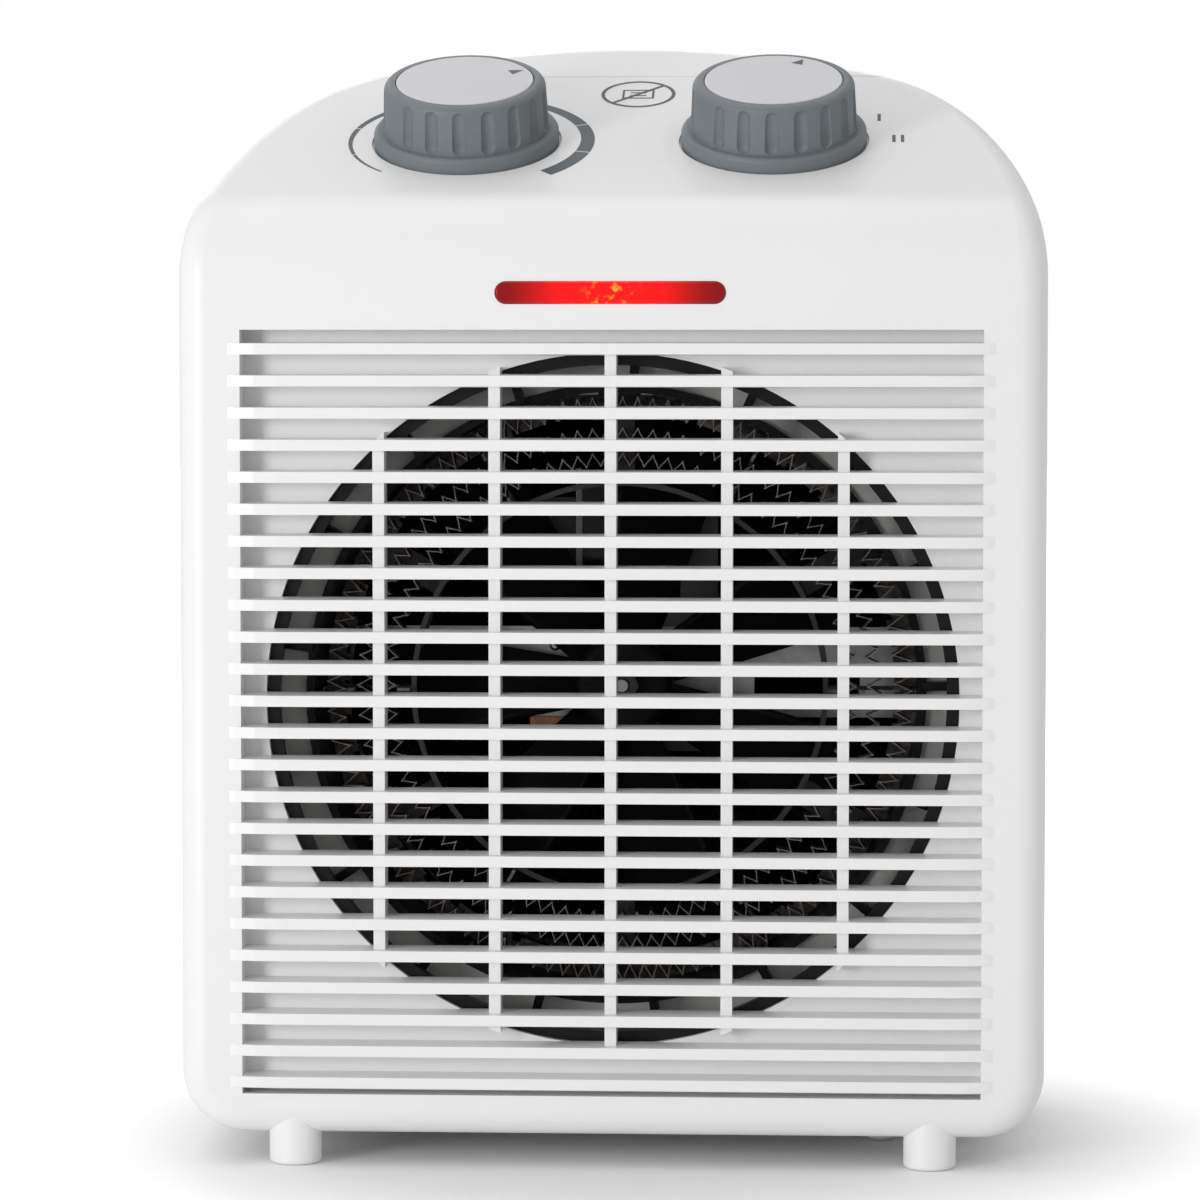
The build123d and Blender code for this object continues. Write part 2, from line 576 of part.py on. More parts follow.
def knob():
    # skirt, tapered grip with upright grooves, hollow underside and keyed hub
    skirt = Pos(0, 0, 1.55) * Cylinder(skirt_radius, 4.3)
    skirt = fillet(skirt.edges().group_by(Axis.Z)[-1], 1.2)
    grip_height = knob_height - 3.0
    grip = Pos(0, 0, 3.0 + grip_height / 2) * Cone(grip_radius + 0.2, grip_radius - 0.5, grip_height)
    grip = fillet(grip.edges().group_by(Axis.Z)[-1], 2.0)
    body = skirt + grip
    cutters = []
    for i in range(18):
        upright = Pos(0, 0, knob_height / 2 + 1.5) * Cylinder(2.1, knob_height - 8.6)
        upright += Pos(0, 0, 6.2 - 0.4) * Sphere(2.1)
        upright += Pos(0, 0, knob_height - 2.8) * Sphere(2.1)
        cutters.append(Rot(0, 0, 20 * i + 10) * Pos(grip_radius + 0.85, 0, 0) * upright)
    body -= cutters
    cavity = Pos(0, 0, (knob_height - 4.2 - 2) / 2) * Cylinder(grip_radius - 2.9, knob_height - 4.2 + 2)
    body -= cavity
    boss = Cylinder(shaft_half + 2.6, knob_height - 3.9 - neck_end)
    body += Pos(0, 0, (neck_end + 0.9 + knob_height - 3) / 2) * boss
    for turn in (45, 135):
        web = Pos(0, 0, knob_height - 6.2) * Rot(0, 0, turn) * Box(2 * grip_radius - 5, 1.3, 5.0)
        body += web
    body -= key_bar(shaft_half + 0.01, neck_end - 1, stem_high, neck_end + 0.5)
    body -= Pos(0, 0, knob_height) * Cylinder(cap_radius + 0.25, 2.4)
    return body


cap_radius = grip_radius - 3.55
knob_body = knob()
cap = Pos(0, 0, knob_height - 0.5) * Cylinder(cap_radius, 1.4)
cap = fillet(cap.edges().group_by(Axis.Z)[-1], 0.4)
stem = key_bar(shaft_half, stem_low, stem_high, neck_end + 0.5)
for name, x in knob_x.items():
    spot = on_panel(x)
    parts[f"{name}_knob"] = spot * knob_body
    parts[f"{name}_cap"] = spot * cap
    parts[f"{name}_shaft"] = spot * stem

neck = Pos(0, 0, (neck_end + body_top) / 2) * Cylinder(neck_radius, neck_end - body_top)
stem_bore = Pos(0, 0, (stem_low - 0.3 + 20) / 2) * Cylinder(shaft_half + fit_gap, 20 - stem_low + 0.3)
nut = Pos(0, 0, -1.0) * extrude(RegularPolygon(neck_radius + 2.6, 6), amount=2.8)
nut -= Cylinder(neck_radius + 0.01, 20)
parts["shaft_nuts"] = Compound(children=[on_panel(x) * nut for x in knob_x.values()])

case_low = -18.0
control = Pos(0, 0, (body_top + case_low) / 2) * Box(30, 26, body_top - case_low)
control = fillet(control.edges().filter_by(Axis.Z), 3)
thermostat = control + neck - stem_bore
parts["thermostat_body"] = on_panel(knob_x["thermostat"]) * thermostat
strip = Pos(0, 0, case_low - 0.5) * Box(26, 7, 1.0) + Pos(-9, 0, case_low - 1.5) * Box(6, 7, 1.2)
parts["thermostat_bimetal"] = on_panel(knob_x["thermostat"]) * strip
tabs = [Pos(9 * side, 8, case_low - 5) * Box(6.3, 0.8, 10) for side in (-1, 1)]
parts["thermostat_terminals"] = on_panel(knob_x["thermostat"]) * Compound(children=tabs)
rotary = Pos(0, 0, (body_top - 22) / 2) * Cylinder(15, 22 + body_top)
rotary += Pos(0, 0, body_top - 1.5) * Box(34, 20, 3)
rotary = rotary + neck - stem_bore
parts["rotary_switch_body"] = on_panel(knob_x["switch"]) * rotary
tabs = []
for i in range(5):
    tabs.append(Rot(0, 0, 72 * i + 54) * Pos(10.5, 0, -26) * Box(0.8, 6.3, 8))
parts["switch_terminals"] = on_panel(knob_x["switch"]) * Compound(children=tabs)

# Tip-over switch: the plunger rests on the floor and drops when the heater is lifted
plunger_low = 0.3
flange_low = guide_top + plunger_travel + 0.1
plunger = post(plunger_radius, tip_x, tip_y, plunger_low, flange_low + 1)
plunger = fillet(plunger.edges().group_by(Axis.Z)[0], 1.5)
plunger += post(plunger_radius + 1.8, tip_x, tip_y, flange_low, flange_low + 1.6)
plunger += post(1.4, tip_x, tip_y, flange_low, flange_low + 7)
parts["tip_plunger"] = plunger
spring_low = flange_low + 1.6
spring_high = spring_low + 8.4
coil_radius = plunger_radius - 0.4
wire_radius = 0.35
spring = post(coil_radius + wire_radius, tip_x, tip_y, spring_low, spring_high)
parts["tip_spring"] = spring - post(coil_radius - wire_radius, tip_x, tip_y, spring_low - 1, spring_high + 1)
housing = block(tip_x - 10, tip_x + 10, tip_y - 6, tip_y + 6, spring_high, spring_high + 12)
housing -= post(2.2, tip_x, tip_y, spring_high - 1, spring_high + 6)
for side in (-1, 1):
    x0, x1 = sorted((tip_x + side * (plunger_radius + 4.2), tip_x + side * (plunger_radius + 6.2)))
    housing += block(x0, x1, tip_y - 6, tip_y + 6, tip_post_top, spring_high + 4)
    x0, x1 = sorted((tip_x + side * (plunger_radius + 4.2), tip_x + side * (plunger_radius + 13)))
    housing += block(x0, x1, tip_y - 4, tip_y + 4, tip_post_top, tip_post_top + 1.8)
for x, y in tip_posts:
    housing -= post(screw_radius, x, y, tip_post_top - 1, tip_post_top + 3)
parts["tip_switch_body"] = housing
lone = screw(screw_radius - 0.4, 2.4, 4.4)
parts["tip_switch_screws"] = Compound(children=[Pos(x, y, tip_post_top + 1.8) * lone for x, y in tip_posts])

# Leads between the controls, the terminal block, the motor, the lamp and the tip-over switch
lead_radius = 1.1
contact_z = pad_top + 7 + 0.1
tilt = radians(panel_tilt)


def panel_point(x, dx, dy, dz):
    y = knob_y + dy * cos(tilt) - dz * sin(tilt)
    return (x + dx, y, panel_z(knob_y) + dy * sin(tilt) + dz * cos(tilt))


def lead(*points):
    # round lead along straight runs joined by arcs as large as the runs allow
    spots = [Vector(*point) for point in points]
    radii = []
    for before, here, after in zip(spots, spots[1:], spots[2:]):
        half_turn = radians((here - before).get_angle(after - here)) / 2
        radii.append(0.45 * min((here - before).length, (after - here).length) / tan(half_turn))
    path = FilletPolyline(*spots, radius=radii)
    return sweep(Plane(origin=path @ 0, z_dir=path % 0) * Circle(lead_radius), path=path)


def tab_run(x, dx, dy, end, length):
    # a terminal's end face and a point straight below it
    return panel_point(x, dx, dy, end), panel_point(x, dx, dy, end - length)


def switch_tab(turn, length):
    return tab_run(knob_x["switch"], 10.5 * cos(radians(turn)), 10.5 * sin(radians(turn)), -30.1, length)


heater_ends = [
    (switch_tab(126, 4), 7, block_y + 2.5),
    (switch_tab(198, 4), 8, block_y - 2.5),
    (tab_run(knob_x["thermostat"], 9, 8, case_low - 10.1, 4), -8, block_y),
]
heater_leads = [lead(*run, (x, y, contact_z + 6), (x, y, contact_z)) for run, x, y in heater_ends]
parts["heater_leads"] = Compound(children=heater_leads)
motor_leads, lamp_leads, tip_leads = [], [], []
for side in (-1, 1):
    coil_y, crest_z = core_front + 8, contact_z + 8
    motor_leads.append(
        lead(
            (side * 6, coil_y, axis_z + 55.3), (side * 6, coil_y, axis_z + 73), (side * 3, duct_end, crest_z + 1),
            (side * 1.5, block_y + 2, crest_z), (side * 1.5, block_y + 2, contact_z),
        )
    )
    lamp_leads.append(
        lead(
            (side * 10, lamp_y + 12.1, lens_z), (side * 10, lamp_y + 18, lens_z),
            (side * 1.5, block_y - 3, crest_z + 2), (side * 1.5, block_y - 3, contact_z),
        )
    )
    lane = tip_y + side * 2.5
    finish, approach = switch_tab(18 - 36 * side, 7)
    tip_leads.append(
        lead(
            (tip_x + 5, lane, spring_high + 12.1), (tip_x + 5, lane, spring_high + 22),
            (duct_outer + 6.5, lane, axis_z - 26), (duct_outer + 7, lane, axis_z + 22),
            (duct_outer - 14, lane, grille_high - 14), approach, finish,
        )
    )
parts["motor_leads"] = Compound(children=motor_leads)
parts["lamp_leads"] = Compound(children=lamp_leads)
parts["tip_switch_leads"] = Compound(children=tip_leads)

os.makedirs("parts", exist_ok=True)
for name, shape in parts.items():
    shape.label = name
    export_step(shape, f"parts/{name}.step")
    print(name, len(shape.solids()), round(shape.volume))
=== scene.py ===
import json
import math

import bmesh
import bpy
from mathutils import Matrix, Vector


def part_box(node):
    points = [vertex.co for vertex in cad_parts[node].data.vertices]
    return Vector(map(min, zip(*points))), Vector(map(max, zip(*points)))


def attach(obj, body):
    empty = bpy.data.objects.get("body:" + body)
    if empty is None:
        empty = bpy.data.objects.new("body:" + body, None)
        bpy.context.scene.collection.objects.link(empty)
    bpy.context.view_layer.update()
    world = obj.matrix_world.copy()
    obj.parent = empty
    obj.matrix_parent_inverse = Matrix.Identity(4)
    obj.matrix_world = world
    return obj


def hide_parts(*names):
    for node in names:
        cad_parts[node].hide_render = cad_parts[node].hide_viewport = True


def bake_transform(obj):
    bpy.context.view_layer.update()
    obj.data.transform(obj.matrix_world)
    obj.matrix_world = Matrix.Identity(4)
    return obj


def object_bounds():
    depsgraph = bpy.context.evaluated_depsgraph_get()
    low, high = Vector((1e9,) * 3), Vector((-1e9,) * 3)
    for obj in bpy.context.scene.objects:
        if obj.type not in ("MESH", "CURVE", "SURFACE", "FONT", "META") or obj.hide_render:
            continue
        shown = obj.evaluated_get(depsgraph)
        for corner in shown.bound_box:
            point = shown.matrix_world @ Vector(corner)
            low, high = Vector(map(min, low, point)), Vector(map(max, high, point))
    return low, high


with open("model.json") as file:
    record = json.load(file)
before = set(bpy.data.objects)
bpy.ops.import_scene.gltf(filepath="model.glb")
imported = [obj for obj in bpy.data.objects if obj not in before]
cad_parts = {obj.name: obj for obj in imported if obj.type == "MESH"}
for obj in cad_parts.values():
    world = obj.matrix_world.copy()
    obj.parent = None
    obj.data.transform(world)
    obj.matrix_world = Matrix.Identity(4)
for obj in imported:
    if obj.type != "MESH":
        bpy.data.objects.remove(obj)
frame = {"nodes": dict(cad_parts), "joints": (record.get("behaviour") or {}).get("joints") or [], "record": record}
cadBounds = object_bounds()
nodes = frame["nodes"]
joints = {joint["name"]: joint for joint in frame["joints"]}
print("frame loaded:", len(nodes), "nodes")

mm = 0.001


def addNode(tree, kind, settings=None, sockets=None):
    node = tree.nodes.new(kind)
    for name, value in (settings or {}).items():
        setattr(node, name, value)
    for name, value in (sockets or {}).items():
        if isinstance(value, bpy.types.NodeSocket):
            tree.links.new(value, node.inputs[name])
        else:
            node.inputs[name].default_value = value
    return node


def newGroup(name, inputs, outputs):
    group = bpy.data.node_groups.new(name, "ShaderNodeTree")
    for label, kind, value in inputs:
        socket = group.interface.new_socket(name=label, in_out="INPUT", socket_type=kind)
        if value is not None:
            socket.default_value = value
    for label, kind in outputs:
        group.interface.new_socket(name=label, in_out="OUTPUT", socket_type=kind)
    return group, group.nodes.new("NodeGroupInput").outputs, group.nodes.new("NodeGroupOutput").inputs


floatKind, colourKind, vectorKind = "NodeSocketFloat", "NodeSocketColor", "NodeSocketVector"


def makeGrainGroup():
    # pebbled skin of moulded or cast surfaces
    inputs = [("Vector", vectorKind, None), ("Scale", floatKind, 900.0), ("Softness", floatKind, 0.5)]
    group, given, made = newGroup("mouldGrain", inputs, [("Height", floatKind)])
    pits = addNode(group, "ShaderNodeTexVoronoi", {"feature": "SMOOTH_F1"},
                   {"Vector": given["Vector"], "Scale": given["Scale"], "Smoothness": given["Softness"]})
    fine = addNode(group, "ShaderNodeTexNoise", None,
                   {"Vector": given["Vector"], "Scale": given["Scale"], "Detail": 3.0, "Roughness": 0.6})
    total = addNode(group, "ShaderNodeMath", {"operation": "ADD"},
                    {0: pits.outputs["Distance"], 1: fine.outputs["Fac"]})
    group.links.new(total.outputs[0], made["Height"])
    return group


def makeToneGroup():
    # slow drift of colour and gloss over a surface
    inputs = [("Vector", vectorKind, None), ("Scale", floatKind, 30.0), ("Colour", colourKind, None),
              ("Second Colour", colourKind, None), ("Share", floatKind, 0.3),
              ("Roughness", floatKind, 0.4), ("Roughness Drift", floatKind, 0.1)]
    group, given, made = newGroup("toneDrift", inputs,
                                  [("Colour", colourKind), ("Roughness", floatKind)])
    cloud = addNode(group, "ShaderNodeTexNoise", None,
                    {"Vector": given["Vector"], "Scale": given["Scale"], "Detail": 6.0,
                     "Roughness": 0.65})
    spread = addNode(group, "ShaderNodeMapRange", None,
                     {"Value": cloud.outputs["Fac"], "From Min": 0.3, "From Max": 0.7, "To Min": 0.0})
    weight = addNode(group, "ShaderNodeMath", {"operation": "MULTIPLY"},
                     {0: spread.outputs[0], 1: given["Share"]})
    blend = addNode(group, "ShaderNodeMix", {"data_type": "RGBA"},
                    {"Factor": weight.outputs[0], 6: given["Colour"], 7: given["Second Colour"]})
    swing = addNode(group, "ShaderNodeMath", {"operation": "MULTIPLY_ADD"},
                    {0: spread.outputs[0], 1: given["Roughness Drift"], 2: given["Roughness"]})
    group.links.new(blend.outputs[2], made["Colour"])
    group.links.new(swing.outputs[0], made["Roughness"])
    return group


def makeDustGroup():
    # thin settled dust on faces that look up, broken by noise
    inputs = [("Vector", vectorKind, None), ("Colour", colourKind, None), ("Dust Colour", colourKind, None),
              ("Amount", floatKind, 0.2)]
    group, given, made = newGroup("settledDust", inputs, [("Colour", colourKind), ("Mask", floatKind)])
    facing = addNode(group, "ShaderNodeNewGeometry")
    split = addNode(group, "ShaderNodeSeparateXYZ", None, {0: facing.outputs["Normal"]})
    upward = addNode(group, "ShaderNodeMapRange", None,
                     {"Value": split.outputs["Z"], "From Min": 0.2, "From Max": 1.0})
    patch = addNode(group, "ShaderNodeTexNoise", None,
                    {"Vector": given["Vector"], "Scale": 70.0, "Detail": 8.0})
    both = addNode(group, "ShaderNodeMath", {"operation": "MULTIPLY"},
                   {0: upward.outputs[0], 1: patch.outputs["Fac"]})
    mask = addNode(group, "ShaderNodeMath", {"operation": "MULTIPLY"},
                   {0: both.outputs[0], 1: given["Amount"]})
    blend = addNode(group, "ShaderNodeMix", {"data_type": "RGBA"},
                    {"Factor": mask.outputs[0], 6: given["Colour"], 7: given["Dust Colour"]})
    group.links.new(blend.outputs[2], made["Colour"])
    group.links.new(mask.outputs[0], made["Mask"])
    return group


def makeStrokeGroup():
    # long fine strokes of rolled, drawn or wound stock
    inputs = [("Vector", vectorKind, None), ("Stretch", vectorKind, (40.0, 3000.0, 3000.0)),
              ("Contrast", floatKind, 1.0)]
    group, given, made = newGroup("drawnStrokes", inputs, [("Height", floatKind)])
    longer = addNode(group, "ShaderNodeVectorMath", {"operation": "MULTIPLY"},
                     {0: given["Vector"], 1: given["Stretch"]})
    streak = addNode(group, "ShaderNodeTexNoise", None,
                     {"Vector": longer.outputs[0], "Scale": 1.0, "Detail": 4.0, "Roughness": 0.7})
    strength = addNode(group, "ShaderNodeMath", {"operation": "MULTIPLY"},
                       {0: streak.outputs["Fac"], 1: given["Contrast"]})
    group.links.new(strength.outputs[0], made["Height"])
    return group


grainGroup, toneGroup = makeGrainGroup(), makeToneGroup()
dustGroup, strokeGroup = makeDustGroup(), makeStrokeGroup()


def useGroup(tree, group, sockets):
    return addNode(tree, "ShaderNodeGroup", {"node_tree": group}, sockets)


def startMaterial(name):
    material = bpy.data.materials.new(name)
    material.use_nodes = True
    tree = material.node_tree
    principled = tree.nodes["Principled BSDF"]
    place = addNode(tree, "ShaderNodeTexCoord").outputs["Object"]
    return material, tree, principled, place


def addBump(tree, principled, height, strength, distance):
    bump = addNode(tree, "ShaderNodeBump", None,
                   {"Height": height, "Strength": strength, "Distance": distance})
    tree.links.new(bump.outputs["Normal"], principled.inputs["Normal"])


def mouldedPlastic(look):
    # satin or glossy moulding: tone drift, pebble grain, light dust
    material, tree, principled, place = startMaterial(look["name"])
    tone = useGroup(tree, toneGroup, {
        "Vector": place, "Scale": look.get("toneScale", 25.0), "Colour": look["colour"],
        "Second Colour": look["secondColour"], "Share": look.get("share", 0.35),
        "Roughness": look["roughness"], "Roughness Drift": look.get("drift", 0.06)})
    dust = useGroup(tree, dustGroup, {
        "Vector": place, "Colour": tone.outputs["Colour"], "Dust Colour": (0.62, 0.6, 0.57, 1),
        "Amount": look.get("dust", 0.1)})
    grain = useGroup(tree, grainGroup, {"Vector": place, "Scale": look.get("grainScale", 1400.0)})
    tree.links.new(dust.outputs["Colour"], principled.inputs["Base Color"])
    tree.links.new(tone.outputs["Roughness"], principled.inputs["Roughness"])
    addBump(tree, principled, grain.outputs["Height"], look.get("grain", 0.15), 0.1 * mm)
    principled.inputs["Specular IOR Level"].default_value = look.get("specular", 0.5)
    principled.inputs["Coat Weight"].default_value = look.get("coat", 0.0)
    principled.inputs["Coat Roughness"].default_value = 0.15
    return material


def workedMetal(look):
    # bare metal: drawn strokes, tarnish and changing gloss
    material, tree, principled, place = startMaterial(look["name"])
    tone = useGroup(tree, toneGroup, {
        "Vector": place, "Scale": look.get("toneScale", 120.0), "Colour": look["colour"],
        "Second Colour": look["tarnish"], "Share": look.get("share", 0.6),
        "Roughness": look["roughness"], "Roughness Drift": look.get("drift", 0.18)})
    strokes = useGroup(tree, strokeGroup,
                       {"Vector": place, "Stretch": look.get("stretch", (60.0, 2500.0, 2500.0))})
    tree.links.new(tone.outputs["Colour"], principled.inputs["Base Color"])
    tree.links.new(tone.outputs["Roughness"], principled.inputs["Roughness"])
    addBump(tree, principled, strokes.outputs["Height"], look.get("stroke", 0.2), 0.05 * mm)
    principled.inputs["Metallic"].default_value = 1.0
    return material


def bandedFinish(look):
    # sheets or windings laid one against the next along one axis
    material, tree, principled, place = startMaterial(look["name"])
    tone = useGroup(tree, toneGroup, {
        "Vector": place, "Scale": 60.0, "Colour": look["colour"], "Second Colour": look["secondColour"],
        "Share": 0.6, "Roughness": look["roughness"], "Roughness Drift": 0.12})
    bands = addNode(tree, "ShaderNodeTexWave", {"bands_direction": look["direction"]},
                    {"Vector": place, "Scale": look["bandScale"], "Distortion": look.get("waver", 0.4),
                     "Detail": 2.0, "Detail Scale": 1.5})
    tree.links.new(tone.outputs["Colour"], principled.inputs["Base Color"])
    tree.links.new(tone.outputs["Roughness"], principled.inputs["Roughness"])
    addBump(tree, principled, bands.outputs["Fac"], look.get("relief", 0.6), 0.15 * mm)
    principled.inputs["Metallic"].default_value = look.get("metallic", 0.0)
    return material


def fleckedMica(look):
    # pressed mica board: pale and dark flakes, a faint shine on some
    material, tree, principled, place = startMaterial(look["name"])
    flakes = addNode(tree, "ShaderNodeTexVoronoi", None,
                     {"Vector": place, "Scale": look["flakeScale"], "Randomness": 1.0})
    shade = addNode(tree, "ShaderNodeSeparateColor", None, {0: flakes.outputs["Color"]})
    ramp = addNode(tree, "ShaderNodeValToRGB", None, {0: shade.outputs[0]})
    ramp.color_ramp.elements[0].color = look["darkFlake"]
    ramp.color_ramp.elements[1].color = look["paleFlake"]
    tone = useGroup(tree, toneGroup, {
        "Vector": place, "Scale": 90.0, "Colour": ramp.outputs["Color"],
        "Second Colour": look["browned"], "Share": 0.7, "Roughness": 0.42, "Roughness Drift": 0.25})
    tree.links.new(tone.outputs["Colour"], principled.inputs["Base Color"])
    tree.links.new(tone.outputs["Roughness"], principled.inputs["Roughness"])
    addBump(tree, principled, shade.outputs[1], 0.35, 0.08 * mm)
    return material


def openFoam(look):
    # black dust foam: cell walls stand proud of the hollows, which get painted shade, a darker colour
    material, tree, principled, place = startMaterial(look["name"])
    cells = addNode(tree, "ShaderNodeTexVoronoi", {"feature": "DISTANCE_TO_EDGE"},
                    {"Vector": place, "Scale": look["cellScale"]})
    depth = addNode(tree, "ShaderNodeMapRange", None,
                    {"Value": cells.outputs["Distance"], "From Min": 0.02, "From Max": 0.22})
    # painted shade: the hollows between the cell walls take the darker colour
    shade = addNode(tree, "ShaderNodeMix", {"data_type": "RGBA"},
                    {"Factor": depth.outputs[0], 6: look["wall"], 7: look["hollow"]})
    dust = useGroup(tree, dustGroup, {
        "Vector": place, "Colour": shade.outputs[2], "Dust Colour": (0.3, 0.29, 0.27, 1),
        "Amount": 0.25})
    hollowness = addNode(tree, "ShaderNodeMath", {"operation": "SUBTRACT"},
                         {0: 1.0, 1: depth.outputs[0]})
    tree.links.new(dust.outputs["Colour"], principled.inputs["Base Color"])
    principled.inputs["Roughness"].default_value = 0.85
    addBump(tree, principled, hollowness.outputs[0], 0.9, 0.4 * mm)
    return material


def clearRed(look):
    # tinted lens: painted glow and painted glints in the middle over the lamp, deep red towards its ends, prism
    # lines inside
    material, tree, principled, place = startMaterial(look["name"])
    split = addNode(tree, "ShaderNodeSeparateXYZ", None, {0: place})
    offset = addNode(tree, "ShaderNodeMath", {"operation": "ABSOLUTE"}, {0: split.outputs["X"]})
    # painted glow: the middle of the lens is a brighter red than its ends
    middle = addNode(tree, "ShaderNodeMapRange", {"interpolation_type": "SMOOTHSTEP"},
                     {"Value": offset.outputs[0], "From Min": look["paintedGlowHalf"],
                      "From Max": look["paintedGlowFadeHalf"], "To Min": 1.0, "To Max": 0.0})
    # painted glints: yellow flecks near the middle of the lens
    glow = addNode(tree, "ShaderNodeTexNoise", None, {"Vector": place, "Scale": 420.0, "Detail": 3.0})
    spark = addNode(tree, "ShaderNodeMapRange", None,
                    {"Value": glow.outputs["Fac"], "From Min": 0.55, "From Max": 0.68, "To Min": 0.0,
                     "To Max": 0.8})
    core = addNode(tree, "ShaderNodeMapRange", {"interpolation_type": "SMOOTHSTEP"},
                   {"Value": offset.outputs[0], "From Min": 0.0, "From Max": look["paintedGlintHalf"],
                    "To Min": 1.0, "To Max": 0.0})
    paintedGlintMask = addNode(tree, "ShaderNodeMath", {"operation": "MULTIPLY"},
                        {0: spark.outputs[0], 1: core.outputs[0]})
    red = addNode(tree, "ShaderNodeMix", {"data_type": "RGBA"},
                  {"Factor": middle.outputs[0], 6: look["deepRed"], 7: look["paintedGlowRed"]})
    redWithPaintedGlints = addNode(tree, "ShaderNodeMix", {"data_type": "RGBA"},
                   {"Factor": paintedGlintMask.outputs[0], 6: red.outputs[2], 7: look["glint"]})
    lines = addNode(tree, "ShaderNodeTexWave", {"bands_direction": "X"},
                    {"Vector": place, "Scale": 260.0})
    tree.links.new(redWithPaintedGlints.outputs[2], principled.inputs["Base Color"])
    # the painted glow colour is also emitted, so the lens itself glows though no lamp is lit
    tree.links.new(redWithPaintedGlints.outputs[2], principled.inputs["Emission Color"])
    principled.inputs["Emission Strength"].default_value = look["paintedGlowStrength"]
    principled.inputs["Roughness"].default_value = 0.16
    principled.inputs["Specular IOR Level"].default_value = 0.2
    principled.inputs["Coat Weight"].default_value = 0.15
    principled.inputs["Coat Roughness"].default_value = 0.04
    addBump(tree, principled, lines.outputs["Fac"], 0.1, 0.1 * mm)
    return material


def lampGlass(look):
    # thin clear glass with a warm gas tint
    material, tree, principled, place = startMaterial(look["name"])
    smear = useGroup(tree, toneGroup, {
        "Vector": place, "Scale": 200.0, "Colour": look["colour"], "Second Colour": look["secondColour"],
        "Share": 0.5, "Roughness": 0.03, "Roughness Drift": 0.08})
    tree.links.new(smear.outputs["Colour"], principled.inputs["Base Color"])
    tree.links.new(smear.outputs["Roughness"], principled.inputs["Roughness"])
    principled.inputs["Transmission Weight"].default_value = 0.9
    principled.inputs["IOR"].default_value = 1.48
    return material


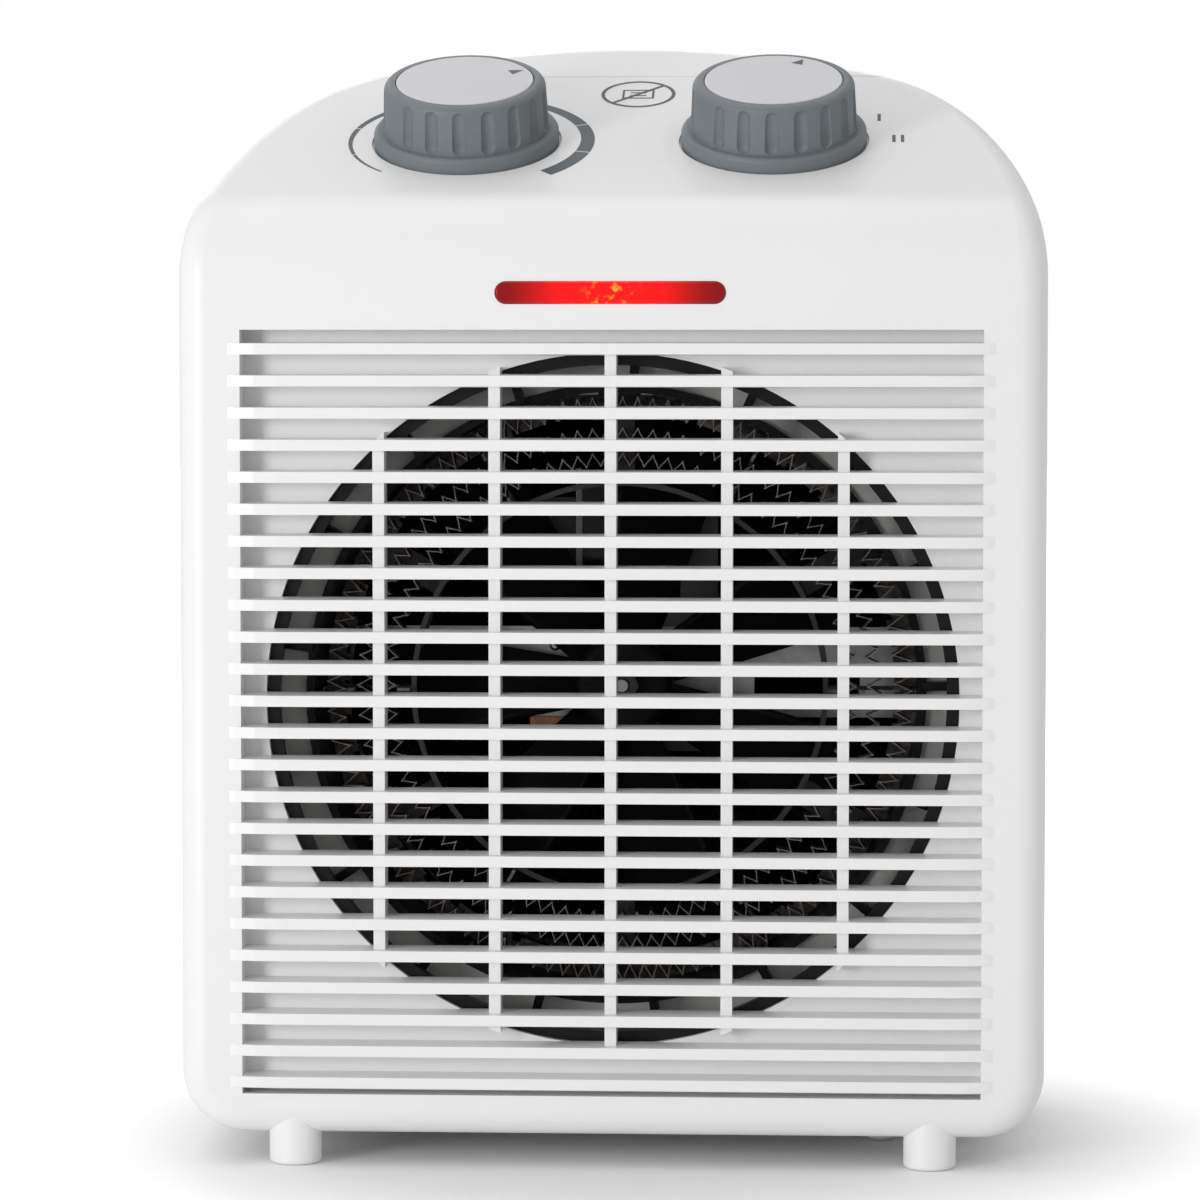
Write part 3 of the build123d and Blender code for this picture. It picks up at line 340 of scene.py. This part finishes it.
looks = {
    "caseWhite": mouldedPlastic({
        "name": "caseWhite", "colour": (0.89, 0.883, 0.887, 1), "secondColour": (0.85, 0.84, 0.84, 1),
        "share": 0.3, "roughness": 0.34, "drift": 0.08, "grainScale": 1500.0, "grain": 0.08,
        "dust": 0.03, "coat": 0.05}),
    "knobSlate": mouldedPlastic({
        "name": "knobSlate", "colour": (0.165, 0.187, 0.202, 1), "secondColour": (0.14, 0.158, 0.17, 1),
        "roughness": 0.5, "drift": 0.1, "grainScale": 2200.0, "grain": 0.45, "dust": 0.12}),
    "capPale": mouldedPlastic({
        "name": "capPale", "colour": (0.66, 0.66, 0.69, 1), "secondColour": (0.61, 0.61, 0.635, 1),
        "roughness": 0.36, "drift": 0.06, "grainScale": 2400.0, "grain": 0.12, "dust": 0.05}),
    "ductBlack": mouldedPlastic({
        "name": "ductBlack", "colour": (0.006, 0.006, 0.007, 1), "secondColour": (0.014, 0.014, 0.015, 1),
        "roughness": 0.26, "drift": 0.12, "grainScale": 700.0, "grain": 0.06, "dust": 0.015,
        "specular": 0.22}),
    "nylonPale": mouldedPlastic({
        "name": "nylonPale", "colour": (0.78, 0.77, 0.73, 1), "secondColour": (0.68, 0.66, 0.6, 1),
        "roughness": 0.42, "grainScale": 900.0, "grain": 0.12}),
    "fanMatte": mouldedPlastic({
        "name": "fanMatte", "colour": (0.008, 0.008, 0.009, 1), "secondColour": (0.018, 0.018, 0.019, 1),
        "roughness": 0.42, "drift": 0.12, "grainScale": 1100.0, "grain": 0.14, "dust": 0.03,
        "specular": 0.12}),
    "phenolic": mouldedPlastic({
        "name": "phenolic", "colour": (0.045, 0.032, 0.026, 1), "secondColour": (0.075, 0.05, 0.04, 1),
        "toneScale": 260.0, "share": 0.8, "roughness": 0.4, "grainScale": 1600.0, "grain": 0.25}),
    "buttonNylon": mouldedPlastic({
        "name": "buttonNylon", "colour": (0.7, 0.7, 0.68, 1), "secondColour": (0.6, 0.6, 0.56, 1),
        "roughness": 0.38, "grain": 0.1}),
    "redSilicone": mouldedPlastic({
        "name": "redSilicone", "colour": (0.42, 0.035, 0.03, 1), "secondColour": (0.3, 0.025, 0.02, 1),
        "toneScale": 150.0, "roughness": 0.48, "grainScale": 3000.0, "grain": 0.3, "dust": 0.2}),
    "blueSilicone": mouldedPlastic({
        "name": "blueSilicone", "colour": (0.045, 0.1, 0.32, 1), "secondColour": (0.03, 0.07, 0.22, 1),
        "toneScale": 150.0, "roughness": 0.48, "grainScale": 3000.0, "grain": 0.3, "dust": 0.2}),
    "printInk": mouldedPlastic({
        "name": "printInk", "colour": (0.085, 0.105, 0.12, 1), "secondColour": (0.11, 0.13, 0.145, 1),
        "toneScale": 700.0, "roughness": 0.5, "grainScale": 4000.0, "grain": 0.1, "dust": 0.0}),
    "nichrome": workedMetal({
        "name": "nichrome", "colour": (0.5, 0.46, 0.42, 1), "tarnish": (0.2, 0.15, 0.13, 1),
        "toneScale": 260.0, "share": 0.8, "roughness": 0.3, "stretch": (900.0, 4000.0, 900.0),
        "stroke": 0.25}),
    "rolledSteel": workedMetal({
        "name": "rolledSteel", "colour": (0.56, 0.56, 0.57, 1), "tarnish": (0.36, 0.35, 0.34, 1),
        "roughness": 0.3}),
    "zincPlate": workedMetal({
        "name": "zincPlate", "colour": (0.66, 0.67, 0.7, 1), "tarnish": (0.5, 0.5, 0.48, 1),
        "toneScale": 400.0, "roughness": 0.26, "stretch": (1500.0, 1500.0, 1500.0), "stroke": 0.15}),
    "castAlloy": workedMetal({
        "name": "castAlloy", "colour": (0.68, 0.68, 0.69, 1), "tarnish": (0.5, 0.5, 0.51, 1),
        "toneScale": 300.0, "roughness": 0.42, "stretch": (1800.0, 1800.0, 1800.0), "stroke": 0.4}),
    "copperBand": workedMetal({
        "name": "copperBand", "colour": (0.8, 0.38, 0.22, 1), "tarnish": (0.42, 0.17, 0.1, 1),
        "roughness": 0.28}),
    "brassTab": workedMetal({
        "name": "brassTab", "colour": (0.78, 0.6, 0.3, 1), "tarnish": (0.5, 0.34, 0.14, 1),
        "roughness": 0.26}),
    "coreStack": bandedFinish({
        "name": "coreStack", "colour": (0.1, 0.11, 0.13, 1), "secondColour": (0.16, 0.12, 0.09, 1),
        "metallic": 0.6, "roughness": 0.38, "direction": "Y", "bandScale": 320.0, "waver": 0.1,
        "relief": 0.8}),
    "blackOxide": workedMetal({
        "name": "blackOxide", "colour": (0.07, 0.07, 0.075, 1), "tarnish": (0.12, 0.1, 0.085, 1),
        "toneScale": 220.0, "roughness": 0.38, "stretch": (900.0, 900.0, 900.0), "stroke": 0.3}),
    "coilTape": bandedFinish({
        "name": "coilTape", "colour": (0.02, 0.02, 0.023, 1), "secondColour": (0.04, 0.035, 0.03, 1),
        "roughness": 0.3, "direction": "X", "bandScale": 60.0, "waver": 0.8, "relief": 0.5}),
    "micaBoard": fleckedMica({
        "name": "micaBoard", "flakeScale": 900.0, "darkFlake": (0.14, 0.135, 0.13, 1),
        "paleFlake": (0.42, 0.41, 0.39, 1), "browned": (0.26, 0.22, 0.17, 1)}),
    # foam: the second, darker colour is painted shade in the cell hollows
    "filterFoam": openFoam({
        "name": "filterFoam", "cellScale": 1100.0, "wall": (0.03, 0.03, 0.032, 1),
        "hollow": (0.002, 0.002, 0.002, 1)}),
    # lens: the deep red is its own tint; the bright red, the glint and the emission are painted glow and painted
    # highlights
    "lensRed": clearRed({
        "name": "lensRed", "paintedGlowHalf": 6 * mm, "paintedGlowFadeHalf": 28 * mm, "paintedGlintHalf": 9 * mm,
        "deepRed": (0.2, 0.001, 0.002, 1), "paintedGlowRed": (0.95, 0.004, 0.003, 1),
        "glint": (1.0, 0.4, 0.05, 1), "paintedGlowStrength": 0.35}),
    "neonGlass": lampGlass({
        "name": "neonGlass", "colour": (0.95, 0.8, 0.68, 1), "secondColour": (0.9, 0.62, 0.45, 1)}),
}

finishOfSlot = {
    "shell_white": "caseWhite", "knob_grey": "knobSlate", "cap_grey": "capPale", "lens_red": "lensRed",
    "lamp_glass": "neonGlass", "duct_black": "ductBlack", "nylon_natural": "nylonPale",
    "mica_grey": "micaBoard",
    "nichrome": "nichrome", "steel": "rolledSteel", "black_oxide": "blackOxide",
    "filter_foam": "filterFoam",
    "zinc_screw": "zincPlate", "lamination": "coreStack", "aluminium": "castAlloy",
    "copper": "copperBand",
    "coil_tape": "coilTape", "phenolic": "phenolic", "brass": "brassTab", "fan_plastic": "fanMatte",
    "button_white": "buttonNylon", "lead_red": "redSilicone", "lead_blue": "blueSilicone",
}


def dress(piece, look):
    piece.data.materials.clear()
    piece.data.materials.append(looks[look])


for part in frame["record"]["subparts"]:
    dress(nodes[part["node"]], finishOfSlot[part["material_slot"]])
print("finishes placed on the packed parts")


def makePiece(name, mesh, body, look, replaced=()):
    piece = bpy.data.objects.new(name, mesh)
    bpy.context.scene.collection.objects.link(piece)
    dress(piece, look)
    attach(piece, body)
    if replaced:
        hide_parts(*replaced)
    return piece


def sweepStrip(name, points, width, thickness, depthAxis):
    # closed flat strip that follows points, standing on edge along depthAxis
    bm = bmesh.new()
    rings = []
    count = len(points)
    for i, point in enumerate(points):
        along = (points[(i + 1) % count] - points[i - 1]).normalized()
        across = along.cross(depthAxis).normalized()
        half, rise = across * thickness / 2, depthAxis * width / 2
        corners = ((-1, -1), (1, -1), (1, 1), (-1, 1))
        rings.append([bm.verts.new(point + half * a + rise * b) for a, b in corners])
    for i in range(count):
        near, far = rings[i], rings[(i + 1) % count]
        for k in range(4):
            bm.faces.new((near[k], near[(k + 1) % 4], far[(k + 1) % 4], far[k]))
    bmesh.ops.recalc_face_normals(bm, faces=bm.faces)
    mesh = bpy.data.meshes.new(name)
    bm.to_mesh(mesh)
    bm.free()
    return mesh


# heating ribbons: resistance strip folded back and forth between two radii
ribbon = {
    "foldPitch": 3.8 * mm,
    "thickness": 0.22 * mm,
    "pointsPerFold": 14,
    "bulge": 0.34,
    "foldDepths": {"outer": 5.4 * mm, "middle": 4.2 * mm, "inner": 4.0 * mm},
    "clearance": 0.15 * mm,
    "sharpness": 0.96,
}
fanAxis = Vector(joints["fan_spin"]["pos_m"])


def buildRibbon(ringName):
    node = f"heating_ribbon_{ringName}"
    low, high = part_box(node)
    outerReach = (high.x - low.x) / 2
    foldDepth, sharpness = ribbon["foldDepths"][ringName], ribbon["sharpness"]
    middle, swing = outerReach - foldDepth / 2, foldDepth / 2 - ribbon["clearance"]
    folds = int(2 * math.pi * middle / ribbon["foldPitch"])
    points = []
    total = folds * ribbon["pointsPerFold"]
    for i in range(total):
        phase = 2 * math.pi * i / ribbon["pointsPerFold"]
        angle = (phase + ribbon["bulge"] * math.sin(2 * phase)) / folds
        reach = middle + swing * math.asin(sharpness * math.sin(phase)) / math.asin(sharpness)
        across, upward = reach * math.sin(angle), reach * math.cos(angle)
        points.append(Vector((across, (low.y + high.y) / 2, fanAxis.z + upward)))
    mesh = sweepStrip(node + "Folds", points, high.y - low.y, ribbon["thickness"], Vector((0, 1, 0)))
    makePiece(f"ribbon_{ringName}", mesh, "case", "nichrome", [node])


for ringName in ribbon["foldDepths"]:
    buildRibbon(ringName)
print("heating ribbons folded")


# tip-over spring: an open coil that takes the place of the packed spring
spring = {
    "turns": 5.5,
    "wireRadius": 0.34 * mm,
    "pointsPerTurn": 26,
    "sides": 8,
    "flatShare": 0.09,
}


def buildSpring():
    low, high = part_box("tip_spring")
    centre = (low + high) / 2
    reach = (high.x - low.x) / 2 - spring["wireRadius"]
    rise = high.z - low.z - 2 * spring["wireRadius"]
    steps = int(spring["turns"] * spring["pointsPerTurn"])
    bm = bmesh.new()
    rings = []
    for i in range(steps + 1):
        share = i / steps
        angle = 2 * math.pi * spring["turns"] * share
        outward = Vector((math.cos(angle), math.sin(angle), 0))
        # the end turns lie flat, the middle ones climb
        climb = rise * min(1, max(0, (share - spring["flatShare"]) / (1 - 2 * spring["flatShare"])))
        spot = Vector((centre.x, centre.y, low.z + spring["wireRadius"] + climb)) + outward * reach
        ring = []
        for k in range(spring["sides"]):
            turn = 2 * math.pi * k / spring["sides"]
            offset = outward * math.cos(turn) + Vector((0, 0, 1)) * math.sin(turn)
            ring.append(bm.verts.new(spot + offset * spring["wireRadius"]))
        rings.append(ring)
    for near, far in zip(rings, rings[1:]):
        for k in range(spring["sides"]):
            j = (k + 1) % spring["sides"]
            bm.faces.new((near[k], near[j], far[j], far[k]))
    bm.faces.new(rings[0][::-1])
    bm.faces.new(rings[-1])
    bmesh.ops.recalc_face_normals(bm, faces=bm.faces)
    mesh = bpy.data.meshes.new("plungerSpring")
    bm.to_mesh(mesh)
    bm.free()
    for face in mesh.polygons:
        face.use_smooth = True
    piece = bpy.data.objects.new("plungerSpring", mesh)
    bpy.context.scene.collection.objects.link(piece)
    dress(piece, "rolledSteel")
    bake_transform(piece)
    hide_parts("tip_spring")


buildSpring()

# printed marks on the sloping panel
panelOut = Vector(joints["thermostat_turn"]["axis"]).normalized()
panelSide = Vector((1, 0, 0))
panelBack = panelOut.cross(panelSide)
leftDial = Vector(joints["thermostat_turn"]["pos_m"])
rightDial = Vector(joints["switch_turn"]["pos_m"])


def panelMatrix(centre, lift):
    turn = Matrix((panelSide, panelBack, panelOut)).transposed().to_4x4()
    return Matrix.Translation(centre + panelOut * lift) @ turn


def inkMesh(name, outlines, place, thickness):
    # closed outlines in the panel's own plane, given a thin layer of ink
    bm = bmesh.new()
    for outline in outlines:
        floor = [bm.verts.new(place @ Vector((x, y, 0))) for x, y in outline]
        roof = [bm.verts.new(place @ Vector((x, y, thickness))) for x, y in outline]
        bm.faces.new(roof)
        bm.faces.new(list(reversed(floor)))
        for i in range(len(floor)):
            j = (i + 1) % len(floor)
            bm.faces.new((floor[i], floor[j], roof[j], roof[i]))
    bmesh.ops.recalc_face_normals(bm, faces=bm.faces)
    mesh = bpy.data.meshes.new(name)
    bm.to_mesh(mesh)
    bm.free()
    return mesh


def clockPoint(reach, clock):
    # clock is counted clockwise from the back of the panel, in degrees
    return reach * math.sin(math.radians(clock)), reach * math.cos(math.radians(clock))


def arcBand(start, end, innerStart, widthStart, widthEnd, steps):
    inside, outside = [], []
    for i in range(steps + 1):
        share = i / steps
        clock = start + (end - start) * share
        inside.append(clockPoint(innerStart, clock))
        outside.append(clockPoint(innerStart + widthStart + (widthEnd - widthStart) * share, clock))
    return list(reversed(inside)) + outside


def bar(x, y, width, height, tilt=0.0):
    corners = [(a * width / 2, b * height / 2) for a, b in ((-1, -1), (1, -1), (1, 1), (-1, 1))]
    c, s = math.cos(tilt), math.sin(tilt)
    return [(x + a * c - b * s, y + a * s + b * c) for a, b in corners]


marks = {
    "lift": 0.02 * mm,
    "thickness": 0.05 * mm,
    "scaleInner": 29.5 * mm,
    "scaleEdges": [-138, -109.5, -73, -36.5, 0, 36, 69, 105, 137],
    "scaleWidths": (0.5 * mm, 4.2 * mm),
    "scaleGap": 1.1,
    "digitReach": 31.5 * mm,
    "strokeSize": (0.85 * mm, 5.0 * mm),
    "strokeShift": 0.4 * mm,
    "strokeApart": 1.1 * mm,
    "ringRadii": (2.3 * mm, 1.55 * mm),
    "bladeSize": (2.5 * mm, 0.9 * mm),
    "stepClocks": (0, 30, 59, 88.5),
}


def buildScale():
    first, last = marks["scaleEdges"][0], marks["scaleEdges"][-1]
    thin, thick = marks["scaleWidths"]
    outlines = []
    for start, end in zip(marks["scaleEdges"], marks["scaleEdges"][1:]):
        start, end = start + marks["scaleGap"] / 2, end - marks["scaleGap"] / 2
        widths = [thin + (thick - thin) * (clock - first) / (last - first) for clock in (start, end)]
        outlines.append(arcBand(start, end, marks["scaleInner"], widths[0], widths[1], 14))
    place = panelMatrix(leftDial, marks["lift"])
    mesh = inkMesh("warmthScale", outlines, place, marks["thickness"])
    makePiece("warmthScale", mesh, "case", "printInk")


def buildSteps():
    # positions of the step switch: off ring, fan blades, one bar, two bars
    strokeWide, strokeTall = marks["strokeSize"]
    outlines = []
    offClock, fanClock, lowClock, highClock = marks["stepClocks"]
    x, y = clockPoint(marks["digitReach"], offClock)
    ring, hole = [[clockPoint(radius, a) for a in range(0, 360, 15)] for radius in marks["ringRadii"]]
    for i in range(24):
        j = (i + 1) % 24
        outlines.append([(x + p[0], y + p[1]) for p in (ring[i], ring[j], hole[j], hole[i])][::-1])
    x, y = clockPoint(marks["digitReach"], fanClock)
    bladeLong, bladeWide = marks["bladeSize"]
    for blade in range(4):
        petal = []
        for k in range(10):
            swing = math.pi * k / 9
            reach, side = bladeLong * math.sin(swing / 2 + 0.15), bladeWide * math.sin(swing)
            a = math.radians(90 * blade)
            along = reach * math.cos(a) - side * math.sin(a)
            across = reach * math.sin(a) + side * math.cos(a)
            petal.append((x + along, y + across))
        outlines.append(petal)
    x, y = clockPoint(marks["digitReach"], lowClock)
    outlines.append(bar(x, y, strokeWide, strokeTall))
    x, y = clockPoint(marks["digitReach"] + marks["strokeShift"], highClock)
    for side in (-1, 1):
        outlines.append(bar(x + side * marks["strokeApart"], y, strokeWide, strokeTall))
    place = panelMatrix(rightDial, marks["lift"])
    mesh = inkMesh("stepMarks", outlines, place, marks["thickness"])
    makePiece("stepMarks", mesh, "case", "printInk")


buildScale()
buildSteps()

pointer = {
    "length": 3.6 * mm,
    "halfWidth": 1.6 * mm,
    "edgeInset": 1.4 * mm,
}


def buildPointer(name, body, cap, centre, clock):
    low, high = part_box(cap)
    radius = (high.x - low.x) / 2
    crown = max((v.co - centre).dot(panelOut) for v in nodes[cap].data.vertices)
    tip = radius - pointer["edgeInset"]
    c = math.radians(clock)
    outline = []
    base = tip - pointer["length"]
    for along, across in ((tip, 0), (base, pointer["halfWidth"]), (base, -pointer["halfWidth"])):
        x = along * math.sin(c) + across * math.cos(c)
        y = along * math.cos(c) - across * math.sin(c)
        outline.append((x, y))
    place = panelMatrix(centre, crown + marks["lift"])
    mesh = inkMesh(name, [outline[::-1]], place, marks["thickness"])
    makePiece(name, mesh, body, "printInk")


buildPointer("warmthPointer", "thermostat_dial", "thermostat_cap", leftDial, 64)
buildPointer("stepPointer", "switch_dial", "switch_cap", rightDial, 27)

symbol = {
    "centre": (3.2 * mm, 34.0 * mm),
    "radius": 9.8 * mm,
    "line": 0.95 * mm,
    "clothHalf": (3.9 * mm, 2.9 * mm),
}


def buildSymbol():
    # plain do-not-cover sign: ring, slash and an empty panel
    cx, cy = symbol["centre"]
    outer, inner = symbol["radius"], symbol["radius"] - symbol["line"]
    outlines = []
    for i in range(48):
        a, b = 7.5 * i, 7.5 * (i + 1)
        corners = (clockPoint(outer, a), clockPoint(inner, a), clockPoint(inner, b),
                   clockPoint(outer, b))
        outlines.append([(cx + x, cy + y) for x, y in corners])
    outlines.append(bar(cx, cy, 2 * inner, symbol["line"], math.radians(45)))
    clothX, clothY = symbol["clothHalf"]
    thin = 0.6 * symbol["line"]
    for side in (-1, 1):
        outlines.append(bar(cx + side * clothX, cy, thin, 2 * clothY + thin))
        outlines.append(bar(cx, cy + side * clothY, 2 * clothX - thin, thin))
        outlines.append(bar(cx, cy + side * 0.36 * clothY, 1.1 * clothX, thin))
    place = panelMatrix((leftDial + rightDial) / 2, marks["lift"])
    mesh = inkMesh("coverSign", outlines, place, marks["thickness"])
    makePiece("coverSign", mesh, "case", "printInk")


buildSymbol()
print("panel marks printed")

studio = {
    "floorHalf": 6.0,
    "floorColour": (0.93, 0.93, 0.93, 1),
    "skyColour": (1.0, 1.0, 1.0, 1),
    "fadeNear": 0.07,
    "fadeFar": 0.3,
    "skyLight": 0.6,
    "skySeen": 1.0,
}


def buildFloor():
    half = studio["floorHalf"]
    depth = cadBounds[0][2]
    mesh = bpy.data.meshes.new("studioFloor")
    corners = [(-half, -half, depth), (half, -half, depth), (half, half, depth), (-half, half, depth)]
    mesh.from_pydata(corners, [], [(0, 1, 2, 3)])
    floor = bpy.data.objects.new("studioFloor", mesh)
    bpy.context.scene.collection.objects.link(floor)
    material, tree, principled, place = startMaterial("studioFloor")
    tone = useGroup(tree, toneGroup, {
        "Vector": place, "Scale": 3.0, "Colour": studio["floorColour"],
        "Second Colour": (0.9, 0.9, 0.9, 1), "Share": 0.3, "Roughness": 0.7, "Roughness Drift": 0.05})
    tree.links.new(tone.outputs["Colour"], principled.inputs["Base Color"])
    tree.links.new(tone.outputs["Roughness"], principled.inputs["Roughness"])
    # away from the heater the floor brightens into the white surround; other rays see the plain floor
    spread = addNode(tree, "ShaderNodeVectorMath", {"operation": "LENGTH"}, {0: place})
    away = addNode(tree, "ShaderNodeMapRange", {"interpolation_type": "SMOOTHSTEP"}, {
        "Value": spread.outputs["Value"], "From Min": studio["fadeNear"], "From Max": studio["fadeFar"]})
    rays = addNode(tree, "ShaderNodeLightPath")
    lift = addNode(tree, "ShaderNodeMath", {"operation": "MULTIPLY"},
                   {0: away.outputs[0], 1: rays.outputs["Is Camera Ray"]})
    glow = addNode(tree, "ShaderNodeMix", {"data_type": "RGBA"},
                   {"Factor": lift.outputs[0], 6: (0, 0, 0, 1), 7: studio["skyColour"]})
    principled.inputs["Emission Strength"].default_value = 1.0
    tree.links.new(glow.outputs[2], principled.inputs["Emission Color"])
    mesh.materials.append(material)


def addSoftLight(name, place, aim, size, power):
    light = bpy.data.lights.new(name, "AREA")
    light.shape = "RECTANGLE"
    light.size, light.size_y = size
    light.energy = power
    lamp = bpy.data.objects.new(name, light)
    bpy.context.scene.collection.objects.link(lamp)
    lamp.location = place
    lamp.rotation_euler = (Vector(aim) - Vector(place)).to_track_quat("-Z", "Y").to_euler()


buildFloor()
world = bpy.data.worlds.new("studioSky")
bpy.context.scene.world = world
world.use_nodes = True
sky = world.node_tree
seen = addNode(sky, "ShaderNodeLightPath")
brightness = addNode(sky, "ShaderNodeMix", {"data_type": "FLOAT"},
                     {0: seen.outputs["Is Camera Ray"], 2: studio["skyLight"], 3: studio["skySeen"]})
sky.nodes["Background"].inputs["Color"].default_value = studio["skyColour"]
sky.links.new(brightness.outputs[0], sky.nodes["Background"].inputs["Strength"])
softLights = {
    "frontLeft": {"place": (-1.0, -1.35, 0.3), "aim": (0, 0, 0.13), "size": (0.4, 0.5), "power": 9.5},
    "overhead": {"place": (-0.2, 0.1, 1.5), "aim": (0, 0, 0.1), "size": (1.0, 0.8), "power": 3},
    "behind": {"place": (-0.3, 1.3, 0.8), "aim": (0, 0, 0.15), "size": (0.9, 0.6), "power": 3},
}
for name, light in softLights.items():
    addSoftLight(name, light["place"], light["aim"], light["size"], light["power"])

view = {
    "place": (0.065, -1.2635, 0.211),
    "aim": (-0.0025, -0.0635, 0.143),
    "focal": 145.0,
    "sensor": 36.0,
    "clipStart": 0.01,
}
camera = bpy.data.cameras.new("photoCamera")
camera.lens = view["focal"]
camera.sensor_width = view["sensor"]
cameraObject = bpy.data.objects.new("photoCamera", camera)
bpy.context.scene.collection.objects.link(cameraObject)
cameraObject.location = view["place"]
sight = Vector(view["aim"]) - Vector(view["place"])
cameraObject.rotation_euler = sight.to_track_quat("-Z", "Y").to_euler()
camera.clip_start = view["clipStart"]
bpy.context.scene.camera = cameraObject
bpy.context.scene.view_settings.view_transform = "Standard"
print("studio and camera ready")
